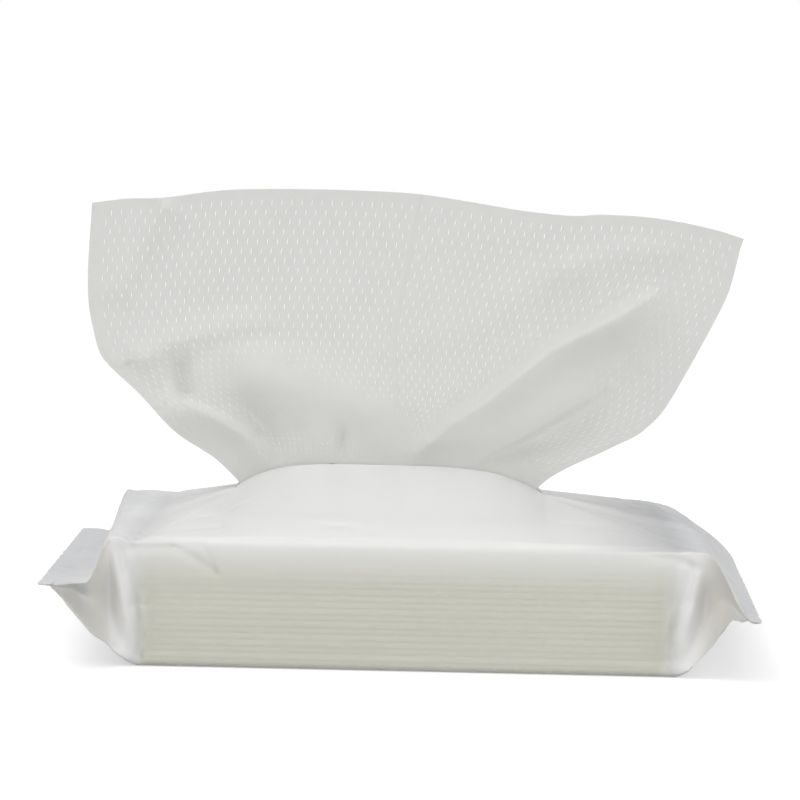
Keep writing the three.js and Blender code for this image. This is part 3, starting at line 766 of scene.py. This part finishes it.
def hairpinLine():   # the middle of a folded cloth seen from its end: y and z from one hem to the other
    centre = (block["layer"] + block["gap"]) / 2
    depth = pack["clothWidth"] / 4
    bend = -depth + block["layer"] + block["gap"] / 2
    run = np.linspace(depth, bend, block["depthSteps"])
    turn = np.linspace(math.pi / 2, 3 * math.pi / 2, block["foldSteps"] + 1)[1:-1]
    y = np.concatenate([run, bend + centre * np.cos(turn), run[::-1]])
    z = np.concatenate([np.full(len(run), centre), centre * np.sin(turn), np.full(len(run), -centre)])
    return y, z


def buildFoldedCloth(index):
    name = "folded_cloth_%02d" % (index + 1)
    low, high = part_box(name)
    middle = (np.array(low) + np.array(high)) / 2 / mm
    acrossY, acrossZ = hairpinLine()
    half = pack["clothHeight"] / 2
    x, y = np.meshgrid(np.linspace(-half, half, block["lengthSteps"]), acrossY, indexing="ij")
    z = np.broadcast_to(acrossZ, x.shape)
    # each cloth is a little smaller by a slow wave, so the edges in the stack don't line up
    grainX, grainY = block["waveGrain"]
    wave = latticeNoise(x / grainX + index * block["waveShift"], y / grainY, index)
    shrink = 1 - block["edgeWave"] * (1 + wave)
    points = bothSkins(np.stack([x * shrink, y * shrink, z], axis=-1), block["layer"])
    faces = thickFaces(gridQuads(*x.shape), x.size)
    piece = makeMesh("folded_sheet_%02d" % (index + 1), points + middle, faces)
    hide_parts(name)
    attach(piece, "root")
    return piece


foldedPieces = [buildFoldedCloth(i) for i in range(pack["foldedCount"])]
print("block:", len(foldedPieces), "folded cloths")


# Materials: an input of a node is given a constant or the output of another node

finish = {
    # the film's colours over the block; at its ends and on its gussets, greyed as painted shade, the
    # upright gussets less and warmer; and where the stack shows through, darkened by painted shade
    "filmColor": (0.85, 0.85, 0.85), "filmCloud": (0.88, 0.88, 0.88), "filmEndsShade": (0.57, 0.575, 0.59),
    "filmGussetShade": (0.67, 0.655, 0.61), "filmShadedTint": (0.70, 0.695, 0.62), "filmShadedBand": (0.78, 0.78, 0.73),
    "cloudScale": 22, "stretchScale": 70, "bandScale": (7, 7, 85), "facetScale": 18,
    "filmHazy": 0.6, "filmTight": 0.42, "filmEndHazy": 0.85,
    "filmRoughness": (0.31, 0.43), "filmIor": 1.42,
    "creaseOnBlock": 0.00004, "creaseAtEnds": 0.0022, "fineRelief": 0.0001,
    # where its masks run, in metres from the middle, and by how far the film faces upwards, which places
    # the painted shade on the film
    "tightDepth": (0.067, 0.0715), "tightLength": (0.095, 0.107), "tightHeight": (0.029, 0.05),
    "endsAbove": (0.07, 0.122), "endsMiddle": -0.012, "endsBeside": (0.104, 0.118),
    "hazyFrom": (0.1, 0.112), "upright": (0.35, 0.75),
    # the nonwoven; the folded cloths take a darker, yellower copy of its colour as painted shade
    "clothColor": (0.648, 0.643, 0.61), "foldedShadeColor": (0.62, 0.61, 0.46), "clothTint": 0.03,
    "tintSpan": (0.3, 0.7), "clothBump": 0.5, "foldedBump": 0.4, "fibreScale": 1400, "fibreDepth": 0.0003,
}


def newMaterial(name):
    material = bpy.data.materials.new(name)
    material.use_nodes = True
    return material, material.node_tree


def feed(tree, node, inputs):
    for place, value in inputs.items():
        if isinstance(value, bpy.types.NodeSocket):
            tree.links.new(value, node.inputs[place])
        else:
            node.inputs[place].default_value = value


def addNode(tree, kind, inputs=None, **settings):
    node = tree.nodes.new(kind)
    for name, value in settings.items():
        setattr(node, name, value)
    feed(tree, node, inputs or {})
    return node


def calculate(tree, operation, *values):
    return addNode(tree, "ShaderNodeMath", dict(enumerate(values)), operation=operation).outputs[0]


def carry(tree, value, ends, span=(0, 1), kind="LINEAR"):   # takes a value from its span to the ends given
    places = ("Value", "From Min", "From Max", "To Min", "To Max")
    inputs = dict(zip(places, (value, *span, *ends)))
    return addNode(tree, "ShaderNodeMapRange", inputs, interpolation_type=kind).outputs["Result"]


def axisRamp(tree, axes, axis, span, ends, middle=0):   # smooth, by the distance from the middle
    away = calculate(tree, "ABSOLUTE", calculate(tree, "SUBTRACT", axes.outputs[axis], middle))
    return carry(tree, away, ends, span, "SMOOTHSTEP")


def blendColors(tree, mask, first, second):
    blend = addNode(tree, "ShaderNodeMix", {"Factor": mask}, data_type="RGBA")
    places = [i for i, item in enumerate(blend.inputs) if item.type == "RGBA"]
    for place, value in zip(places, (first, second)):
        feed(tree, blend, {place: value + (1,) if isinstance(value, tuple) else value})
    return next(item for item in blend.outputs if item.type == "RGBA")


def fibreGroup():
    # tangled fibres: a mask for tint and a height for bump, at the scale of a nonwoven web
    group = bpy.data.node_groups.new("tangledFibres", "ShaderNodeTree")
    for name, way in (("Scale", "INPUT"), ("Mask", "OUTPUT"), ("Height", "OUTPUT")):
        group.interface.new_socket(name=name, in_out=way, socket_type="NodeSocketFloat")
    given, result = addNode(group, "NodeGroupInput"), addNode(group, "NodeGroupOutput")
    place = addNode(group, "ShaderNodeTexCoord").outputs["Object"]
    cloud = addNode(group, "ShaderNodeTexNoise", {"Vector": place, "Scale": 60, "Detail": 3})
    threads = addNode(group, "ShaderNodeTexNoise", {
        "Vector": place, "Scale": given.outputs["Scale"],
        "Detail": 6, "Roughness": 0.75, "Distortion": 1.6})
    half = calculate(group, "MULTIPLY", threads.outputs["Fac"], 0.5)
    mask = calculate(group, "MULTIPLY_ADD", cloud.outputs["Fac"], 0.5, half)
    feed(group, result, {"Mask": mask, "Height": threads.outputs["Fac"]})
    return group


fibres = fibreGroup()


def clothMaterial(name, color, bump):
    material, tree = newMaterial(name)
    web = addNode(tree, "ShaderNodeGroup", {"Scale": finish["fibreScale"]}, node_tree=fibres)
    tint = addNode(tree, "ShaderNodeValToRGB", {"Fac": web.outputs["Mask"]})
    for stop, place, sign in zip(tint.color_ramp.elements, finish["tintSpan"], (-1, 1)):
        stop.position = place
        stop.color = tuple(c * (1 + sign * finish["clothTint"]) for c in color) + (1,)
    relief = addNode(tree, "ShaderNodeBump", {
        "Strength": bump, "Distance": finish["fibreDepth"], "Height": web.outputs["Height"]})
    feed(tree, tree.nodes["Principled BSDF"], {
        "Base Color": tint.outputs["Color"], "Normal": relief.outputs["Normal"],
        "Roughness": 0.95, "Specular IOR Level": 0.2, "Sheen Weight": 0.15, "Sheen Roughness": 0.6,
        "Subsurface Weight": 0.6, "Subsurface Radius": (1.0, 1.0, 0.9), "Subsurface Scale": 0.002})
    return material


def tightMask(tree, axes):   # 1 where the film lies tight on the front and back of the block, fading out towards their top edge; the stack shows through there, darkened by painted shade
    depth = axisRamp(tree, axes, "Y", finish["tightDepth"], (0, 1))
    length = axisRamp(tree, axes, "X", finish["tightLength"], (1, 0))
    # the front and back get lighter towards their top edge: painted shade
    height = axisRamp(tree, axes, "Z", finish["tightHeight"], (1, 0))
    return calculate(tree, "MULTIPLY", calculate(tree, "MULTIPLY", depth, length), height)


def uprightMask(tree):   # 1 on upright film and 0 on level film, by which the painted shade at the ends changes
    surface = addNode(tree, "ShaderNodeNewGeometry")
    facing = addNode(tree, "ShaderNodeSeparateXYZ", {0: surface.outputs["Normal"]})
    return axisRamp(tree, facing, "Z", finish["upright"], (1, 0))


def endsMask(tree, axes, side):   # 1 at both ends of the pack, starting further in on level film; it places the painted shade at the ends and their deeper crumple
    above = axisRamp(tree, axes, "X", finish["endsAbove"], (0, 1), finish["endsMiddle"])
    beside = axisRamp(tree, axes, "X", finish["endsBeside"], (0, 1))
    return carry(tree, side, (above, beside))


def filmColor(tree, place, haze, tight, side, ends):   # painted shade greys the ends, less on upright film, and the stack shows through as long soft bands, darkened by painted shade
    cloudy = blendColors(tree, haze, finish["filmColor"], finish["filmCloud"])
    # painted shade at the ends: grey on level film, lighter and warmer on upright film
    endShade = blendColors(tree, side, finish["filmEndsShade"], finish["filmGussetShade"])
    greyed = blendColors(tree, ends, cloudy, endShade)
    level = addNode(tree, "ShaderNodeVectorMath", {0: place, 1: finish["bandScale"]}, operation="MULTIPLY")
    bands = addNode(tree, "ShaderNodeTexNoise", {"Vector": level.outputs["Vector"], "Scale": 1})
    # the stack's colours, darkened as painted shade
    stack = blendColors(tree, bands.outputs["Fac"], finish["filmShadedTint"], finish["filmShadedBand"])
    return blendColors(tree, tight, greyed, stack)


def filmRelief(tree, place, ends, stretch):
    # flat facets between straight creases, as in crumpled film, deep at the ends and faint elsewhere
    grain = {"Vector": place, "Scale": finish["facetScale"]}
    cells = addNode(tree, "ShaderNodeTexVoronoi", grain, feature="DISTANCE_TO_EDGE")
    amount = carry(tree, ends, (finish["creaseOnBlock"], finish["creaseAtEnds"]))
    facets = calculate(tree, "MULTIPLY", cells.outputs["Distance"], amount)
    height = calculate(tree, "MULTIPLY_ADD", stretch, finish["fineRelief"], facets)
    relief = addNode(tree, "ShaderNodeBump", {"Strength": 1, "Distance": 1, "Height": height})
    return relief.outputs["Normal"]


def filmAlpha(tree, axes, tight):   # clearest where it lies tight on the stack, and milky at the ends
    clear = carry(tree, tight, (finish["filmHazy"], finish["filmTight"]))
    atEnds = axisRamp(tree, axes, "X", finish["hazyFrom"], (0, 1))
    return carry(tree, atEnds, (clear, finish["filmEndHazy"]))


def filmMaterial():
    material, tree = newMaterial("milkyFilm")
    place = addNode(tree, "ShaderNodeTexCoord").outputs["Object"]
    axes = addNode(tree, "ShaderNodeSeparateXYZ", {0: place})
    noises = [addNode(tree, "ShaderNodeTexNoise", {"Vector": place, "Scale": finish[name], "Detail": 2})
              for name in ("cloudScale", "stretchScale")]
    haze, stretch = (noise.outputs["Fac"] for noise in noises)
    tight, side = tightMask(tree, axes), uprightMask(tree)
    ends = endsMask(tree, axes, side)
    feed(tree, tree.nodes["Principled BSDF"], {
        "Base Color": filmColor(tree, place, haze, tight, side, ends),
        "Roughness": carry(tree, stretch, finish["filmRoughness"]),
        "Normal": filmRelief(tree, place, ends, stretch),
        "Alpha": filmAlpha(tree, axes, tight),
        "IOR": finish["filmIor"]})
    return material


filmPiece.data.materials.append(filmMaterial())
pulledMaterial = clothMaterial("pulledNonwoven", finish["clothColor"], finish["clothBump"])
pulledPiece.data.materials.append(pulledMaterial)
# the folded cloths take a darker, yellower copy of the cloth's colour: painted shade
foldedShadedMaterial = clothMaterial("foldedShadedNonwoven", finish["foldedShadeColor"], finish["foldedBump"])
for piece in foldedPieces:
    piece.data.materials.append(foldedShadedMaterial)
print("materials set")


# Floor, light and camera

studio = {
    "floorHalf": 30, "floorHeight": -0.0002, "floorFades": (0.3, 1.1), "floorColor": 0.72,
    "floorGlow": 0.42, "worldStrength": 0.58,
    "keyPower": 7.6, "fillPower": 3.3, "topPower": 2.5, "frontPower": 2.6,
}


def seenDirectly(tree):   # 1 for what the camera sees, also by reflection or through the film
    rays = addNode(tree, "ShaderNodeLightPath").outputs
    seen = calculate(tree, "MAXIMUM", rays["Is Camera Ray"], rays["Is Glossy Ray"])
    return calculate(tree, "MAXIMUM", seen, rays["Is Transmission Ray"])


def floorMaterial():   # the floor fades into the white studio with distance
    material, tree = newMaterial("paleFloor")
    place = addNode(tree, "ShaderNodeTexCoord").outputs["Object"]
    away = addNode(tree, "ShaderNodeVectorMath", {0: place}, operation="LENGTH")
    distance, fades = away.outputs["Value"], studio["floorFades"]
    pale = carry(tree, distance, (studio["floorColor"], 0.0), fades, "SMOOTHSTEP")
    glow = carry(tree, distance, (studio["floorGlow"], 1.0), fades, "SMOOTHSTEP")
    feed(tree, tree.nodes["Principled BSDF"], {
        "Base Color": pale, "Roughness": 0.9, "Specular IOR Level": 0.1, "Emission Color": (1, 1, 1, 1),
        "Emission Strength": calculate(tree, "MULTIPLY", seenDirectly(tree), glow)})
    return material


def buildFloor():
    half = studio["floorHalf"]
    mesh = bpy.data.meshes.new("floor")
    corners = [(-half, -half, 0), (half, -half, 0), (half, half, 0), (-half, half, 0)]
    mesh.from_pydata(corners, [], [(0, 1, 2, 3)])
    mesh.materials.append(floorMaterial())
    floor = bpy.data.objects.new("floor", mesh)
    bpy.context.collection.objects.link(floor)
    floor.location.z = studio["floorHeight"]


def buildWorld():
    world = bpy.data.worlds.new("studio")
    bpy.context.scene.world = world
    world.use_nodes = True
    tree = world.node_tree
    strength = carry(tree, seenDirectly(tree), (studio["worldStrength"], 1.0))
    feed(tree, tree.nodes["Background"], {"Color": (1, 1, 1, 1), "Strength": strength})


def addSoftbox(name, place, target, size, power):
    lamp = bpy.data.lights.new(name, "AREA")
    lamp.shape = "RECTANGLE"
    lamp.size, lamp.size_y = size
    lamp.energy = power
    box = bpy.data.objects.new(name, lamp)
    bpy.context.collection.objects.link(box)
    box.location = place
    aim = Vector(target) - Vector(place)
    box.rotation_euler = aim.to_track_quat("-Z", "Y").to_euler()


def buildLights():
    addSoftbox("keySoftbox", (-0.6, -0.5, 1.15), (0, 0, 0.05), (0.7, 0.7), studio["keyPower"])
    addSoftbox("fillSoftbox", (0.95, -0.7, 0.5), (0, 0, 0.06), (0.8, 0.6), studio["fillPower"])
    addSoftbox("topSoftbox", (0.1, 0.35, 1.2), (0, 0, 0.05), (0.9, 0.6), studio["topPower"])
    addSoftbox("frontSoftbox", (0.05, -1.2, 0.2), (0, 0, 0.07), (1.2, 0.35), studio["frontPower"])


view = {   # the camera's place in millimetres, its turns in radians, its lens, sensor and clip distances
    "place": (12.65, -964.3, 180.3), "yaw": 0.0176, "pitch": 0.0865, "roll": 0.0185,
    "lens": 108, "sensor": 36, "clip": (0.05, 20),
}


def buildCamera():
    camera = bpy.data.cameras.new("photoView")
    camera.lens, camera.sensor_width = view["lens"], view["sensor"]
    camera.clip_start, camera.clip_end = view["clip"]
    holder = bpy.data.objects.new("photoView", camera)
    bpy.context.collection.objects.link(holder)
    yaw, pitch, roll = view["yaw"], view["pitch"], view["roll"]
    ahead = Vector((-math.sin(yaw) * math.cos(pitch), math.cos(yaw) * math.cos(pitch), -math.sin(pitch)))
    level = Vector((math.cos(yaw), math.sin(yaw), 0))
    up = level.cross(ahead)
    right = level * math.cos(roll) + up * math.sin(roll)
    above = up * math.cos(roll) - level * math.sin(roll)
    turn = Matrix((right, above, -ahead)).transposed()
    holder.matrix_world = Matrix.Translation(Vector(view["place"]) * mm) @ turn.to_4x4()
    bpy.context.scene.camera = holder


buildFloor()
buildWorld()
buildLights()
buildCamera()
bpy.context.scene.view_settings.view_transform = "Standard"
print("room and camera set")
